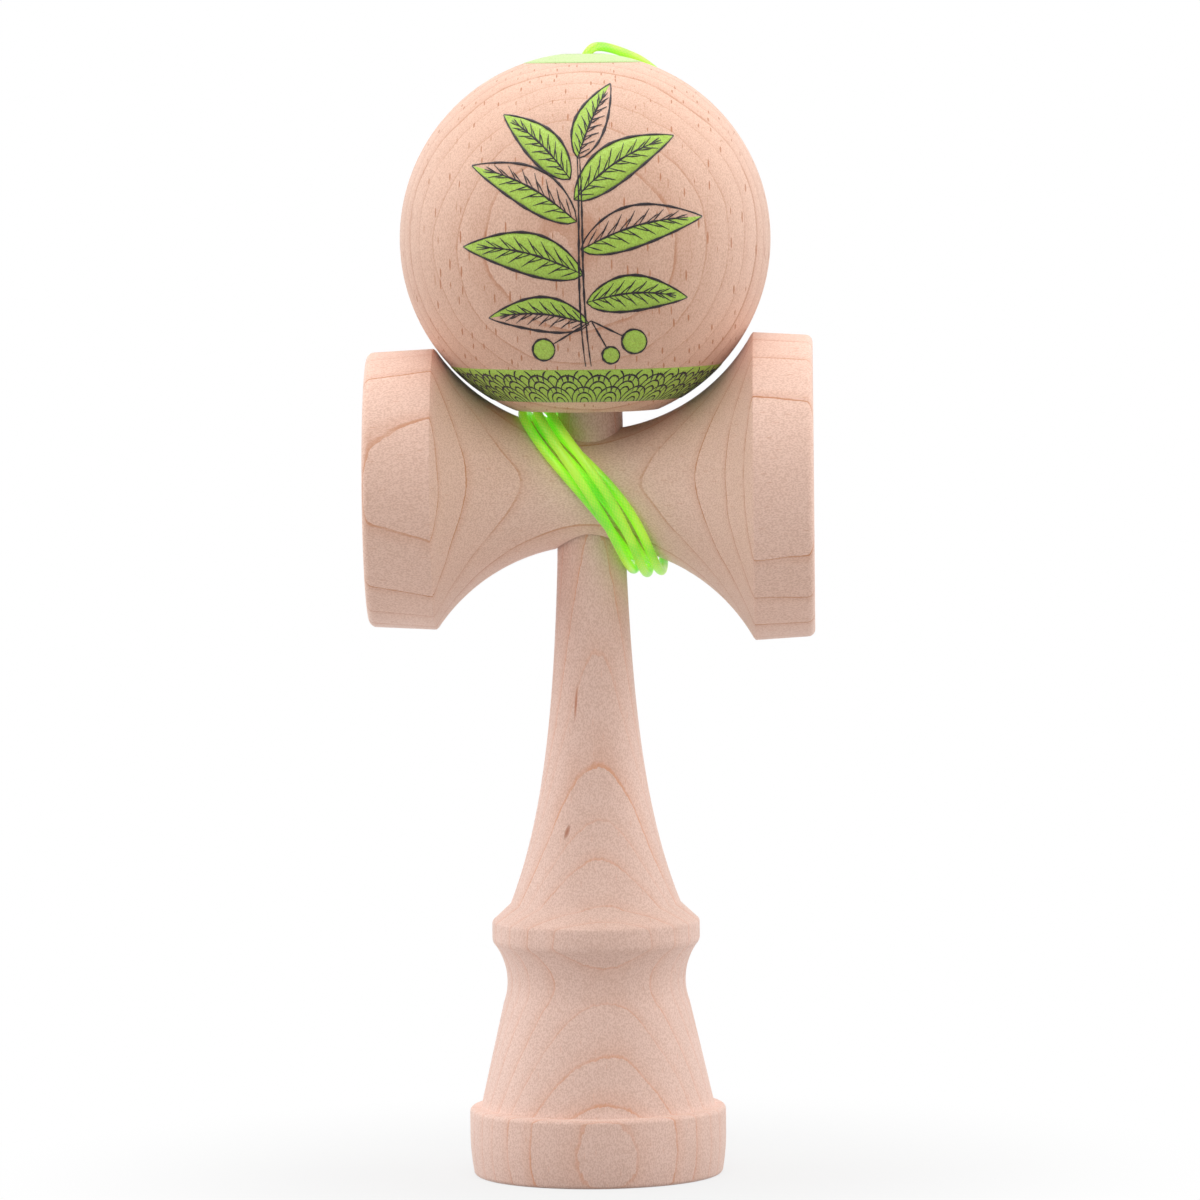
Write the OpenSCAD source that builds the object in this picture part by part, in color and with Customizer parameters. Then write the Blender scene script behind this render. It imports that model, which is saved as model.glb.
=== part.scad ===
// Kendama with its ball stored on the spike and its string wound round the cross piece.
// Millimetres, +Z up, origin at the middle of the base rim. The big cup faces +X, the front faces -Y.
// Turned pieces: ken (handle with spike), sarado (cross piece with two cups), tama (bored ball).
// A single string is knotted in the ken, wound round the sarado and tied off under a bead in the tama.

/* [Ken base] */
// Radius of the base ring at its widest
base_r = 21.05; // [19:0.05:24]
// Radius of the base rim where it stands
base_rim_r = 20.5; // [18.5:0.05:23]
// Height of the widest part of the base ring
base_wide_z = 7; // [5:0.5:9]
// Height of the base ring up to its ledge
base_ring_h = 11.3; // [9:0.1:13]
// Rounding of the base ring's edges
base_edge = 0.8; // [0.4:0.1:1.2]
// Radius of the base cup's mouth
base_cup_r = 17.4; // [14:0.1:18]
// Depth of the base cup
base_cup_depth = 6.2; // [4:0.1:8]
// Radius of the skirt where it meets the ledge
skirt_foot_r = 19.2; // [17.5:0.05:19.6]

/* [Ken waist, collar and neck] */
// Radius of the handle's waist
ken_waist_r = 14.65; // [13:0.05:16]
// Height of the handle's waist
ken_waist_z = 32; // [30:0.1:33]
// Height where the skirt runs into the waist curve
skirt_top_z = 28.4; // [25:0.1:29]
// Radius of the collar
collar_r = 17.05; // [16:0.05:19]
// Height of the collar's top edge
collar_top_z = 42.4; // [41:0.1:43.2]
// Height of the collar from its rounded foot to its top edge
collar_h = 4.5; // [3.5:0.1:5.5]
// Rounding of the collar's top edge
collar_edge = 0.9; // [0.4:0.1:1.4]
// Rounding of the collar's foot
collar_foot_edge = 1.9; // [1:0.1:2.4]
// Radius of the shoulder above the collar
shoulder_r = 14; // [12:0.1:15.5]
// Height of the shoulder
shoulder_z = 44.7; // [43.5:0.1:48]
// Radius of the neck under the sarado
neck_r = 5.65; // [5:0.05:7]
// How sharply the neck flares into the shoulder
flare_rate = 2.45; // [1.5:0.05:3.5]

/* [Ken spike] */
// Height of the sarado's axis
sarado_z = 113; // [105:0.5:120]
// Radius of the spike where it leaves the sarado
spike_r = 5.3; // [4.5:0.05:6.4]
// Radius of the spike's rounded tip
tip_r = 1.9; // [1.2:0.1:3]
// Reach of the sarado's taper above and below its axis
shank_reach = 12; // [11:0.5:14]

/* [Sarado] */
// Half the length of the sarado
sarado_half = 36.5; // [34:0.5:40]
// Radius of the sarado at its waist
waist_r = 9.4; // [8:0.1:11]
// Distance from the ken's axis to the big cup's inner edge
big_band_x = 26.65; // [25:0.05:29]
// Radius of the big cup's inner edge
big_band_r = 25.2; // [23:0.05:28]
// Radius of the big cup's rim
big_rim_r = 24.7; // [22.5:0.05:27]
// Radius of the big cup's mouth
big_cup_r = 22.3; // [20:0.1:22.6]
// Depth of the big cup
big_cup_depth = 10.8; // [8:0.1:13]
// Distance from the ken's axis to the small cup's inner edge
small_band_x = 25.4; // [24:0.05:28]
// Radius of the small cup's inner edge
small_band_r = 23; // [21:0.05:25]
// Radius of the small cup's rim
small_rim_r = 22.5; // [20:0.05:24]
// Radius of the small cup's mouth
small_cup_r = 20.1; // [18:0.1:20.4]
// Depth of the small cup
small_cup_depth = 8.6; // [6:0.1:11]
// Rounding of the rims' outer edges
rim_edge = 1.2; // [0.6:0.1:1.6]
// Gap between the ken's taper and the sarado's bore
taper_gap = 0.05; // [0.02:0.01:0.15]

/* [Tama] */
// Radius of the tama
tama_r = 30.3; // [28:0.1:33]
// Gap between the tama and the cup edge it leans to
seat_gap = 0.3; // [0.1:0.05:0.6]
// Distance that the tama leans over to the small cup
tama_lean = 0.5; // [0:0.1:0.8]
// Radius of the tama's bore
bore_r = 10.5; // [9.5:0.1:12]
// Bevel at the bore's mouth
bore_bevel = 1.2; // [0.6:0.1:2]
// Room between the spike's tip and the end of the bore's straight wall
tip_room = 3.6; // [2.5:0.1:6]
// Height of the cone that closes the bore
bore_cone_h = 8; // [6:0.5:10]
// Wood between the closing cone and the tama's top
top_wood = 9.5; // [8:0.1:12]

/* [String and bead] */
// Diameter of the string
string_d = 1.5; // [1.2:0.1:1.8]
// Play between the string and the holes it passes
string_play = 0.25; // [0.2:0.05:0.4]
// Radius of the countersinks that ease the string round an edge
ease_r = 3.2; // [2.8:0.1:3.8]
// Depth of the countersinks
ease_depth = 3.4; // [3:0.1:4.4]
// Number of times that the string passes over the front
front_passes = 5; // [5:1:5]
// Distance between strands at the top and bottom of the sarado
end_pitch = 2.2; // [2.1:0.05:2.4]
// Distance between strands along the front and back of the sarado
side_pitch = 2.9; // [2.7:0.05:3.2]
// Rise from the first layer of strands to the second
layer_rise = 2.2; // [2.1:0.05:2.5]
// Gap between the first layer and the wood under it
wind_gap = 0.3; // [0.2:0.05:0.5]
// Gap between the strands and the ken beside them
ken_gap = 0.5; // [0.3:0.05:0.7]
// Where the middle of the band crosses the front
band_front = 1.2; // [0:0.1:2]
// Radius of the two knots
knot_r = 1.9; // [1.6:0.1:2.2]
// Height of the two knots
knot_h = 2.5; // [2:0.1:3]
// Radius of the bead
bead_r = 3; // [2.6:0.1:3.6]
// Gap round the loose bead and round the knot in the ken
loose_gap = 0.3; // [0.2:0.05:0.5]
// Gap between a knot and the face it pulls against
knot_gap = 0.1; // [0.05:0.05:0.2]

/* [Hidden] */

// How far a cutter passes its wall
over = 1;
maple = [0.86, 0.70, 0.52];
beech = [0.87, 0.68, 0.55];
neon = [0.45, 0.90, 0.15];
straw = [0.80, 0.66, 0.44];
turned = 128;
curve_steps = 24;
round_steps = 6;
small_round = 48;
wind_sides = 6;
run_sides = 8;
string_r = string_d / 2;
hole_r = string_r + string_play;

// Points on an arc about [cx, cy], both angles in degrees
function arc(cx, cy, r, a0, a1, n) =
  [for (i = [0:n]) [cx + r * cos(a0 + (a1 - a0) * i / n), cy + r * sin(a0 + (a1 - a0) * i / n)]];
// Radius of the ball whose cap has this mouth radius and this depth
function cap_r(mouth, depth) = (mouth * mouth + depth * depth) / (2 * depth);

// Sarado: each side of the waist is one arc from the waist to its cup's inner edge
big_arc_r = cap_r(big_band_x, big_band_r - waist_r);
small_arc_r = cap_r(small_band_x, small_band_r - waist_r);
function waist_at(x) =
  let (r = x < 0 ? small_arc_r : big_arc_r) waist_r + r - sqrt(r * r - x * x);
sarado_profile = concat(
  [[0, -sarado_half]],
  arc(small_rim_r - rim_edge, rim_edge - sarado_half, rim_edge, -90, 0, round_steps),
  [for (i = [0:curve_steps]) let (x = -small_band_x * (1 - i / curve_steps)) [waist_at(x), x]],
  [for (i = [1:curve_steps]) let (x = big_band_x * i / curve_steps) [waist_at(x), x]],
  arc(big_rim_r - rim_edge, sarado_half - rim_edge, rim_edge, 0, 90, round_steps),
  [[0, sarado_half]]
);
back_hole_profile = [
  [0, 0],
  [hole_r, 0],
  [hole_r, waist_r - ease_depth],
  [ease_r, waist_r],
  [ease_r, waist_r + over],
  [0, waist_r + over]
];

// Tama: it comes to rest against a cup's inner edge, or with its mouth on the waist, whichever is higher
mouth_r = bore_r + bore_bevel;
function seat_on(x, r) = r + sqrt(max(0, pow(tama_r + seat_gap, 2) - x * x));
tama_rise = max(
  seat_on(small_band_x - tama_lean, small_band_r),
  seat_on(big_band_x + tama_lean, big_band_r),
  waist_at(mouth_r) + sqrt(tama_r * tama_r - mouth_r * mouth_r) + seat_gap
);
tama_z = sarado_z + tama_rise;
tama_top_z = tama_z + tama_r;
mouth_z = tama_z - sqrt(tama_r * tama_r - mouth_r * mouth_r);
cone_top_z = tama_top_z - top_wood;
bore_end_z = cone_top_z - bore_cone_h;
ease_top_z = tama_z + sqrt(tama_r * tama_r - ease_r * ease_r);
// What is turned out of the tama: the bevelled mouth, the bore, its closing cone,
// the string hole and its countersink
tama_bore_profile = [
  [0, mouth_z - tama_r],
  [mouth_r, mouth_z - tama_r],
  [mouth_r, mouth_z],
  [bore_r, mouth_z + bore_bevel],
  [bore_r, bore_end_z],
  [hole_r, cone_top_z],
  [hole_r, ease_top_z - ease_depth],
  [ease_r, ease_top_z],
  [ease_r, tama_top_z + over],
  [0, tama_top_z + over]
];

// Ken: the shank is one taper from the neck, through the sarado, to the spike's shoulder,
// and the spike ends short of the bore it stands in
neck_z = sarado_z - shank_reach;
shank_top_z = sarado_z + shank_reach;
spike_top_z = bore_end_z - tip_room;
function shank_at(z) = neck_r + (spike_r - neck_r) * (z - neck_z) / (shank_top_z - neck_z);
function flare(u) = neck_r + (shoulder_r - neck_r) * (exp(flare_rate * u) - 1) / (exp(flare_rate) - 1);
base_bulge_r = cap_r(base_wide_z - base_edge, base_r - base_rim_r);
base_bulge_a = asin((base_wide_z - base_edge) / base_bulge_r);
collar_low_z = collar_top_z - collar_h;
// Where the collar's top edge runs out into the shoulder, and its foot into the waist
collar_slope_a = 60;
collar_foot_a = 45;
collar_foot_r = collar_r - collar_foot_edge * (1 - cos(collar_foot_a));
ken_waist_arc_r = cap_r(collar_low_z - ken_waist_z, collar_foot_r - ken_waist_r);
waist_up_a = asin((collar_low_z - ken_waist_z) / ken_waist_arc_r);
waist_down_a = asin((ken_waist_z - skirt_top_z) / ken_waist_arc_r);
tip_round_z = spike_top_z - tip_r;
spike_taper_a = atan((spike_r - tip_r) / (tip_round_z - shank_top_z));
ken_profile = concat(
  [[0, 0]],
  arc(base_rim_r - base_edge, base_edge, base_edge, -90, 0, round_steps),
  arc(base_r - base_bulge_r, base_wide_z, base_bulge_r, -base_bulge_a, 0, round_steps),
  arc(base_r - base_edge, base_ring_h - base_edge, base_edge, 0, 90, round_steps),
  [[skirt_foot_r, base_ring_h]],
  arc(ken_waist_r + ken_waist_arc_r, ken_waist_z, ken_waist_arc_r,
      180 + waist_down_a, 180 - waist_up_a, curve_steps),
  arc(collar_r - collar_foot_edge, collar_low_z + collar_foot_edge * sin(collar_foot_a), collar_foot_edge,
      -collar_foot_a, 0, round_steps),
  arc(collar_r - collar_edge, collar_top_z - collar_edge, collar_edge, 0, collar_slope_a, round_steps),
  [for (i = [0:curve_steps]) let (u = 1 - i / curve_steps) [flare(u), neck_z - (neck_z - shoulder_z) * u]],
  [[spike_r, shank_top_z]],
  arc(0, tip_round_z, tip_r, spike_taper_a, 90, round_steps)
);
pocket_depth = knot_h + loose_gap * 2;
pocket_floor_y = pocket_depth - shank_at(sarado_z);

// Bead: it rests in the closing cone, with the knot under it
cone_slope = (bore_r - hole_r) / bore_cone_h;
bead_drop = ((bead_r + loose_gap) * sqrt(1 + cone_slope * cone_slope) - hole_r) / cone_slope;
bead_z = cone_top_z - bead_drop;
bead_foot = sqrt(bead_r * bead_r - hole_r * hole_r);
knot_top_z = bead_z - bead_foot - knot_gap;

// Winding: it starts at the sarado's hole at the back, goes up over the top and down the front,
// spirals out to the right, climbs a layer in half a turn and spirals in again.
// The middle of the band passes the back, top, front and bottom of the sarado at these places.
rings_a_turn = 24;
bend_diameters = 2.4;
reverse_turn = 2.75;
climb_turns = 0.5;
end_turn = front_passes - 0.25;
// Pitches from the middle of the band to its outermost strand
most_step = 1.25;
start_shift = reverse_turn - most_step;
bend_r = bend_diameters * string_d;
band_back = start_shift * side_pitch;
edge_step = step_at(reverse_turn - climb_turns);
band_top = -(spike_r + string_r + ken_gap + edge_step * end_pitch);
band_bottom = neck_r + string_r + ken_gap + edge_step * end_pitch;
function band_x(a) =
  (band_back + band_front) / 2 * pow(cos(a), 2) + (band_top + band_bottom) / 2 * pow(sin(a), 2)
  + (band_back - band_front) / 2 * cos(a) + (band_top - band_bottom) / 2 * sin(a);
function pitch_at(a) = end_pitch * pow(sin(a), 2) + side_pitch * pow(cos(a), 2);
function step_at(t) = reverse_turn - start_shift - abs(t - reverse_turn);
function ease_in(u) = u < 0 ? 0 : u > 1 ? 1 : u * u * (3 - 2 * u);
function climb_at(t) = layer_rise * ease_in((t - reverse_turn) / climb_turns + 0.5);
function wind_point(t, sink) =
  let (a = 360 * t)
  let (x = band_x(a) + step_at(t) * pitch_at(a))
  let (r = waist_at(x) + wind_gap + string_r + climb_at(t) - sink)
  [x, r * cos(a), sarado_z + r * sin(a)];
// The string comes straight out of the hole and turns into the first strand on a short bend
tiny_turn = 0.001;
start_speed = norm(wind_point(tiny_turn, 0) - wind_point(0, 0)) / tiny_turn;
bend_turn = bend_r / start_speed;
bend_step_a = 15;
straight_y = waist_r + wind_gap + string_r - bend_r - string_d;
wind_rings = round((end_turn - bend_turn) * rings_a_turn);
wind_end = wind_point(end_turn, 0);
wind_way = wind_end - wind_point(end_turn - tiny_turn, 0);
run_start = wind_end + wind_way / norm(wind_way) * string_d;
wind_path = concat(
  [[0, straight_y, sarado_z]],
  [for (a = [0:bend_step_a:90 - bend_step_a])
    wind_point(bend_r * (1 - cos(a)) / start_speed, bend_r * (1 - sin(a)))],
  [for (i = [0:wind_rings]) wind_point(bend_turn + (end_turn - bend_turn) * i / wind_rings, 0)],
  [run_start]
);
// Least gap between strands, measured on the path's points that lie over a third of a turn apart
apart = rings_a_turn / 3;
wind_least_gap = min([for (i = [0:len(wind_path) - apart - 1])
  min([for (j = [i + apart:len(wind_path) - 1]) norm(wind_path[i] - wind_path[j])])]) - string_d;
echo(wind_least_gap = wind_least_gap);

// Free run: out behind the sarado, up the middle of its back to the tama, round to the tama's right,
// over it and into the hole at its top. The low points are placed from the sarado's axis.
// The high ones are placed on the tama: degrees round from its back, degrees up, distance above the wood.
low_run = [
  [7, 5, -13.4], [7, 8, -13], [7.5, 11, -12], [7.5, 13, -10], [7, 14.5, -6.5], [6, 15.5, -2.5], [5, 16, 2],
  [4, 17, 6.5]
];
high_run = [
  [14, -58, 4.8], [17, -50.5, 2.5], [22, -40.5, 1.6], [28, -31, 1.5], [34, -22, 1.5], [38, -14, 1.7],
  [42, -7, 1.4], [45, 1.5, 1.5], [44, 9.5, 1.6], [45, 17, 1.5], [45, 24.5, 1.6], [45, 32.5, 1.6],
  [44, 40.5, 1.7], [44, 48.5, 1.3], [45, 56, 1.3], [45, 65, 1.4], [45, 71.5, 1.3], [45, 78.5, 1.3],
  [45, 83.5, 1.2], [45, 86.5, 0.7], [45, 89, -0.7], [45, 90, -2.6], [45, 90, -4.1]
];
function on_tama(p) =
  let (r = tama_r + p[2])
  [r * cos(p[1]) * sin(p[0]) - tama_lean, r * cos(p[1]) * cos(p[0]), tama_z + r * sin(p[1])];
run_path = concat(
  [run_start],
  [for (p = low_run) p + [0, 0, sarado_z]],
  [for (p = high_run) on_tama(p)]
);
run_end_z = run_path[len(run_path) - 1][2];

// A round tube swept along a path, with its rings square to the path
function unit(v) = v / norm(v);
function way_at(p, i) = unit(p[min(i + 1, len(p) - 1)] - p[max(i - 1, 0)]);
module tube(path, r, sides) {
  n = len(path);
  ways = [for (i = [0:n - 1]) way_at(path, i)];
  outs = [for (w = ways) unit(cross(w, [1, 0, 0]))];
  points = [for (i = [0:n - 1], k = [0:sides - 1])
    let (a = 360 * k / sides)
    path[i] + r * (cos(a) * outs[i] + sin(a) * cross(ways[i], outs[i]))];
  walls = [for (i = [0:n - 2], k = [0:sides - 1])
    [i * sides + k, (i + 1) * sides + k, (i + 1) * sides + (k + 1) % sides, i * sides + (k + 1) % sides]];
  start_cap = [[for (k = [0:sides - 1]) k]];
  end_cap = [[for (k = [0:sides - 1]) (n - 1) * sides + sides - 1 - k]];
  polyhedron(points = points, faces = concat(start_cap, walls, end_cap), convexity = 10);
}

// A knot: a round pad with full sides, standing on its flat face
module knot() {
  side = knot_h / 2;
  rotate_extrude($fn = small_round)
    polygon(concat([[0, 0]], arc(knot_r - side, side, side, -90, 90, round_steps * 2), [[0, knot_h]]));
}

module ken() {
  color(maple)
    difference() {
      rotate_extrude($fn = turned)
        polygon(ken_profile);
      // Base cup
      translate([0, 0, base_cup_depth - cap_r(base_cup_r, base_cup_depth)])
        sphere(r = cap_r(base_cup_r, base_cup_depth), $fn = turned);
      // String hole through the shank, with a pocket for the knot at the front
      translate([0, pocket_floor_y - over, sarado_z])
        rotate([-90, 0, 0])
          cylinder(h = neck_r * 2 + over, r = hole_r, $fn = small_round);
      translate([0, pocket_floor_y, sarado_z])
        rotate([90, 0, 0])
          cylinder(h = pocket_depth + over, r = knot_r + loose_gap, $fn = small_round);
    }
}

module sarado() {
  color(maple)
    translate([0, 0, sarado_z])
      difference() {
        rotate([0, 90, 0])
          rotate_extrude($fn = turned)
            polygon(sarado_profile);
        // Cups
        translate([sarado_half - big_cup_depth + cap_r(big_cup_r, big_cup_depth), 0, 0])
          sphere(r = cap_r(big_cup_r, big_cup_depth), $fn = turned);
        translate([small_cup_depth - sarado_half - cap_r(small_cup_r, small_cup_depth), 0, 0])
          sphere(r = cap_r(small_cup_r, small_cup_depth), $fn = turned);
        // Tapered bore for the ken
        translate([0, 0, -shank_reach])
          cylinder(h = shank_reach * 2, r1 = neck_r + taper_gap, r2 = spike_r + taper_gap, $fn = turned);
        // String hole at the back with its countersink
        rotate([-90, 0, 0])
          rotate_extrude($fn = small_round)
            polygon(back_hole_profile);
      }
}

module tama() {
  color(beech)
    translate([-tama_lean, 0, 0])
      difference() {
        translate([0, 0, tama_z])
          sphere(r = tama_r, $fn = turned);
        rotate_extrude($fn = turned)
          polygon(tama_bore_profile);
      }
}

module bead() {
  color(straw)
    translate([-tama_lean, 0, bead_z])
      difference() {
        sphere(r = bead_r, $fn = small_round);
        cylinder(h = bead_r * 2 + over, r = hole_r, center = true, $fn = small_round);
      }
}

module ken_knot() {
  color(neon)
    translate([0, pocket_floor_y - knot_gap, sarado_z])
      rotate([90, 0, 0])
        knot();
}

module string_in_ken() {
  color(neon)
    translate([0, pocket_floor_y - knot_gap, sarado_z])
      rotate([-90, 0, 0])
        cylinder(h = straight_y - pocket_floor_y + knot_gap, r = string_r, $fn = small_round);
}

module string_winding() {
  color(neon)
    tube(wind_path, string_r, wind_sides);
}

module string_run() {
  color(neon)
    tube(run_path, string_r, run_sides);
}

module string_in_tama() {
  color(neon)
    translate([-tama_lean, 0, knot_top_z])
      cylinder(h = run_end_z - knot_top_z, r = string_r, $fn = small_round);
}

module tama_knot() {
  color(neon)
    translate([-tama_lean, 0, knot_top_z - knot_h])
      knot();
}

ken();
sarado();
tama();
bead();
ken_knot();
string_in_ken();
string_winding();
string_run();
string_in_tama();
tama_knot();
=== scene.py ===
from math import asin, atan, cos, degrees, exp, pi, radians, sin, sqrt

import bmesh
import bpy
from mathutils import Matrix, Vector


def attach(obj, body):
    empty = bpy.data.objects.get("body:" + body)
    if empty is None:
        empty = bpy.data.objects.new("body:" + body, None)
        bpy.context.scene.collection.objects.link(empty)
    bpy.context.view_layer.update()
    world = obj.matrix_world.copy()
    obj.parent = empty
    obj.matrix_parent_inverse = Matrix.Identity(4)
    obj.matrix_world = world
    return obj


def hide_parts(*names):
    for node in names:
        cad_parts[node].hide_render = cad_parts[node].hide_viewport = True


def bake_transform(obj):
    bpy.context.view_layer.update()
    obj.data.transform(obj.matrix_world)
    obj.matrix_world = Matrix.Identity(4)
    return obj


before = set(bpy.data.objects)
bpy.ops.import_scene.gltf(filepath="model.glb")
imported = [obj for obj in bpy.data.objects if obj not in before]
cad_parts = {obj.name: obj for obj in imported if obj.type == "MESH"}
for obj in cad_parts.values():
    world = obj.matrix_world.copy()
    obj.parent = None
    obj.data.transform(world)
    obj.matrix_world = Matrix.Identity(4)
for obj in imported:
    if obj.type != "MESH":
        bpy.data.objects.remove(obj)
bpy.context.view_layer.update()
mm = 0.001


# Camera: a long lens a little above the sarado, turned a degree to the right
# and rolled a little, as the kendama was photographed.
camera_target = Vector((1.26, 0, 94.55)) * mm
camera_distance = 1.4
camera_azimuth = radians(1.5)
camera_elevation = radians(3.9)
camera_roll = radians(-0.65)
camera_side = Vector((
    sin(camera_azimuth) * cos(camera_elevation),
    -cos(camera_azimuth) * cos(camera_elevation),
    sin(camera_elevation),
))
bpy.ops.object.select_all(action="DESELECT")
bpy.ops.object.camera_add(location=camera_target + camera_side * camera_distance)
camera = bpy.context.object
camera.name = "camera"
camera.data.lens = 256.2
camera.data.sensor_width = 36
looking = (-camera_side).to_track_quat("-Z", "Y").to_matrix()
camera.rotation_euler = (looking @ Matrix.Rotation(camera_roll, 3, "Z")).to_euler()
bpy.context.scene.camera = camera


# String: about 56 cm of braided nylon, knotted in front of its hole in the ken, led out through
# the back of the sarado, wound almost five times slantwise over the sarado's waist in two layers,
# then up behind the tama and down the hole in its top to a second knot under the bead.
string_d = 1.5
sarado_z = 113
waist_r = 9.4
big_flare_x, big_flare_r = 26.65, 25.2
small_flare_x, small_flare_r = 25.4, 23
big_arc_r = (big_flare_x ** 2 + (big_flare_r - waist_r) ** 2) / (2 * (big_flare_r - waist_r))
small_arc_r = (small_flare_x ** 2 + (small_flare_r - waist_r) ** 2) / (2 * (small_flare_r - waist_r))
spike_r, neck_r = 5.3, 5.65
neck_gap = 0.5
wind_gap = 0.3
end_pitch = 2.2
side_pitch = 2.9
edge_strands = 0.75
layer_rise = 2.2
layer_turn = 0.5
reverse_turn = 2.75
end_turn = 4.75
start_shift = 1.5
bend_r = 2.4 * string_d
band_back = start_shift * side_pitch
band_front = 1.2
band_top = -(spike_r + string_d / 2 + neck_gap + edge_strands * end_pitch)
band_bottom = neck_r + string_d / 2 + neck_gap + edge_strands * end_pitch
pocket_floor_y = -2.375
hole_middle_y = 1.5
straight_y = waist_r + wind_gap + string_d / 2 - bend_r - string_d
tama_r = 30.3
tama_x = -0.5
tama_gap = 0.3
tama_z = sarado_z + small_flare_r + sqrt((tama_r + tama_gap) ** 2 - (small_flare_x + tama_x) ** 2)
knot_top_z = 168.19
knot_tuck = 0.1


def waist_at(x):
    """The sarado's radius at a distance along it from its middle."""
    arc_r = small_arc_r if x < 0 else big_arc_r
    return waist_r + arc_r - sqrt(arc_r ** 2 - x ** 2)


def wind_point(turn, sink=0.0):
    """A point of the winding after so many turns, sunk below it where the cord bends up out of its hole."""
    a = 2 * pi * turn
    x = ((band_back + band_front) / 2 * cos(a) ** 2 + (band_top + band_bottom) / 2 * sin(a) ** 2
         + (band_back - band_front) / 2 * cos(a) + (band_top - band_bottom) / 2 * sin(a))
    step = reverse_turn - start_shift - abs(turn - reverse_turn)
    x += step * (end_pitch * sin(a) ** 2 + side_pitch * cos(a) ** 2)
    u = min(1, max(0, (turn - reverse_turn) / layer_turn + 0.5))
    r = waist_at(x) + wind_gap + string_d / 2 + layer_rise * u * u * (3 - 2 * u) - sink
    return Vector((x, r * cos(a), sarado_z + r * sin(a)))


small_turn = 0.001
start_speed = (wind_point(small_turn) - wind_point(0)).length / small_turn
bend_turn = bend_r / start_speed
string_path = [Vector((0, y, sarado_z)) for y in (pocket_floor_y - knot_tuck, hole_middle_y, straight_y)]
bend_steps = 12
for i in range(bend_steps):
    a = radians(90 * i / bend_steps)
    string_path.append(wind_point(bend_r * (1 - cos(a)) / start_speed, bend_r * (1 - sin(a))))
wind_steps = 220
for i in range(wind_steps + 1):
    string_path.append(wind_point(bend_turn + (end_turn - bend_turn) * i / wind_steps))
wind_end = wind_point(end_turn)
wind_way = (wind_end - wind_point(end_turn - small_turn)).normalized()
run_points = [wind_point(end_turn - 10 * small_turn), wind_end, wind_end + wind_way * string_d]
# Off the winding and up behind the waist: right, back, and above the sarado's axis
run_points += [Vector((x, y, sarado_z + up)) for x, y, up in (
    (7, 5, -13.4), (7, 8, -13), (7.5, 11, -12), (7.5, 13, -10), (7, 14.5, -6.5), (6, 15.5, -2.5),
    (5, 16, 2), (4, 17, 6.5),
)]
# Up behind the tama to its top: degrees round from the back, degrees above its equator, and clear of it
for around, up, lift in (
    (14, -58, 4.8), (17, -50.5, 2.5), (22, -40.5, 1.6), (28, -31, 1.5), (34, -22, 1.5), (38, -14, 1.7),
    (42, -7, 1.4), (45, 1.5, 1.5), (44, 9.5, 1.6), (45, 17, 1.5), (45, 24.5, 1.6), (45, 32.5, 1.6),
    (44, 40.5, 1.7), (44, 48.5, 1.3), (45, 56, 1.3), (45, 65, 1.4), (45, 71.5, 1.3), (45, 78.5, 1.3),
    (45, 83.5, 1.2), (45, 86.5, 0.7), (45, 89, -0.7), (45, 90, -2.6), (45, 90, -4.1),
):
    r = tama_r + lift
    a, e = radians(around), radians(up)
    run_points.append(Vector((tama_x + r * cos(e) * sin(a), r * cos(e) * cos(a), tama_z + r * sin(e))))
run_points += [Vector((tama_x, 0, z)) for z in (177, 173, knot_top_z - knot_tuck)]
run_points.append(run_points[-1] * 2 - run_points[-2])
curve_steps = 4
for before, here, there, after in zip(run_points[1:], run_points[2:], run_points[3:], run_points[4:]):
    for i in range(curve_steps):
        u = (i + 1) / curve_steps
        string_path.append(
            ((2 * here) + (there - before) * u + (2 * before - 5 * here + 4 * there - after) * u ** 2
             + (3 * here - before - 3 * there + after) * u ** 3) / 2)
string_path = [p * mm for p in string_path]


def lay_cord(name, path, radius, sides, closed=False):
    """A round cord along a path, with a UV map that runs round it and along it in millimetres."""
    mesh = bpy.data.meshes.new(name)
    piece = bpy.data.objects.new(name, mesh)
    bpy.context.scene.collection.objects.link(piece)
    bm = bmesh.new()
    uv = bm.loops.layers.uv.new("UVMap")
    count = len(path)
    ways = []
    for i in range(count):
        if closed:
            way = path[(i + 1) % count] - path[i - 1]
        else:
            way = path[min(i + 1, count - 1)] - path[max(i - 1, 0)]
        ways.append(way.normalized())
    out = ways[0].orthogonal().normalized()
    rings, along = [], [0.0]
    for i in range(count):
        out = (out - ways[i] * out.dot(ways[i])).normalized()
        side = ways[i].cross(out)
        angles = [2 * pi * k / sides for k in range(sides)]
        rings.append([bm.verts.new(path[i] + radius * (cos(a) * out + sin(a) * side)) for a in angles])
        if i:
            along.append(along[-1] + (path[i] - path[i - 1]).length / mm)
    along.append(along[-1] + (path[0] - path[-1]).length / mm)
    turn = 0
    if closed:
        first = (rings[0][0].co - path[0]).normalized()
        side = ways[0].cross(out)
        twist = Vector((first.dot(out), first.dot(side))).angle_signed(Vector((1, 0)))
        turn = round(sides * twist / (2 * pi))
    for i in range(count if closed else count - 1):
        shift = turn if i == count - 1 else 0
        for k in range(sides):
            ring, next_ring = rings[i], rings[(i + 1) % count]
            face = bm.faces.new((ring[k], ring[(k + 1) % sides],
                                 next_ring[(k + 1 + shift) % sides], next_ring[(k + shift) % sides]))
            face.smooth = True
            for loop, (u, v) in zip(face.loops, ((k, i), (k + 1, i), (k + 1, i + 1), (k, i + 1))):
                loop[uv].uv = (u / sides, along[v])
    if not closed:
        bm.faces.new(list(reversed(rings[0])))
        bm.faces.new(rings[-1])
    bmesh.ops.recalc_face_normals(bm, faces=bm.faces)
    bm.to_mesh(mesh)
    bm.free()
    return piece


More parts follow.
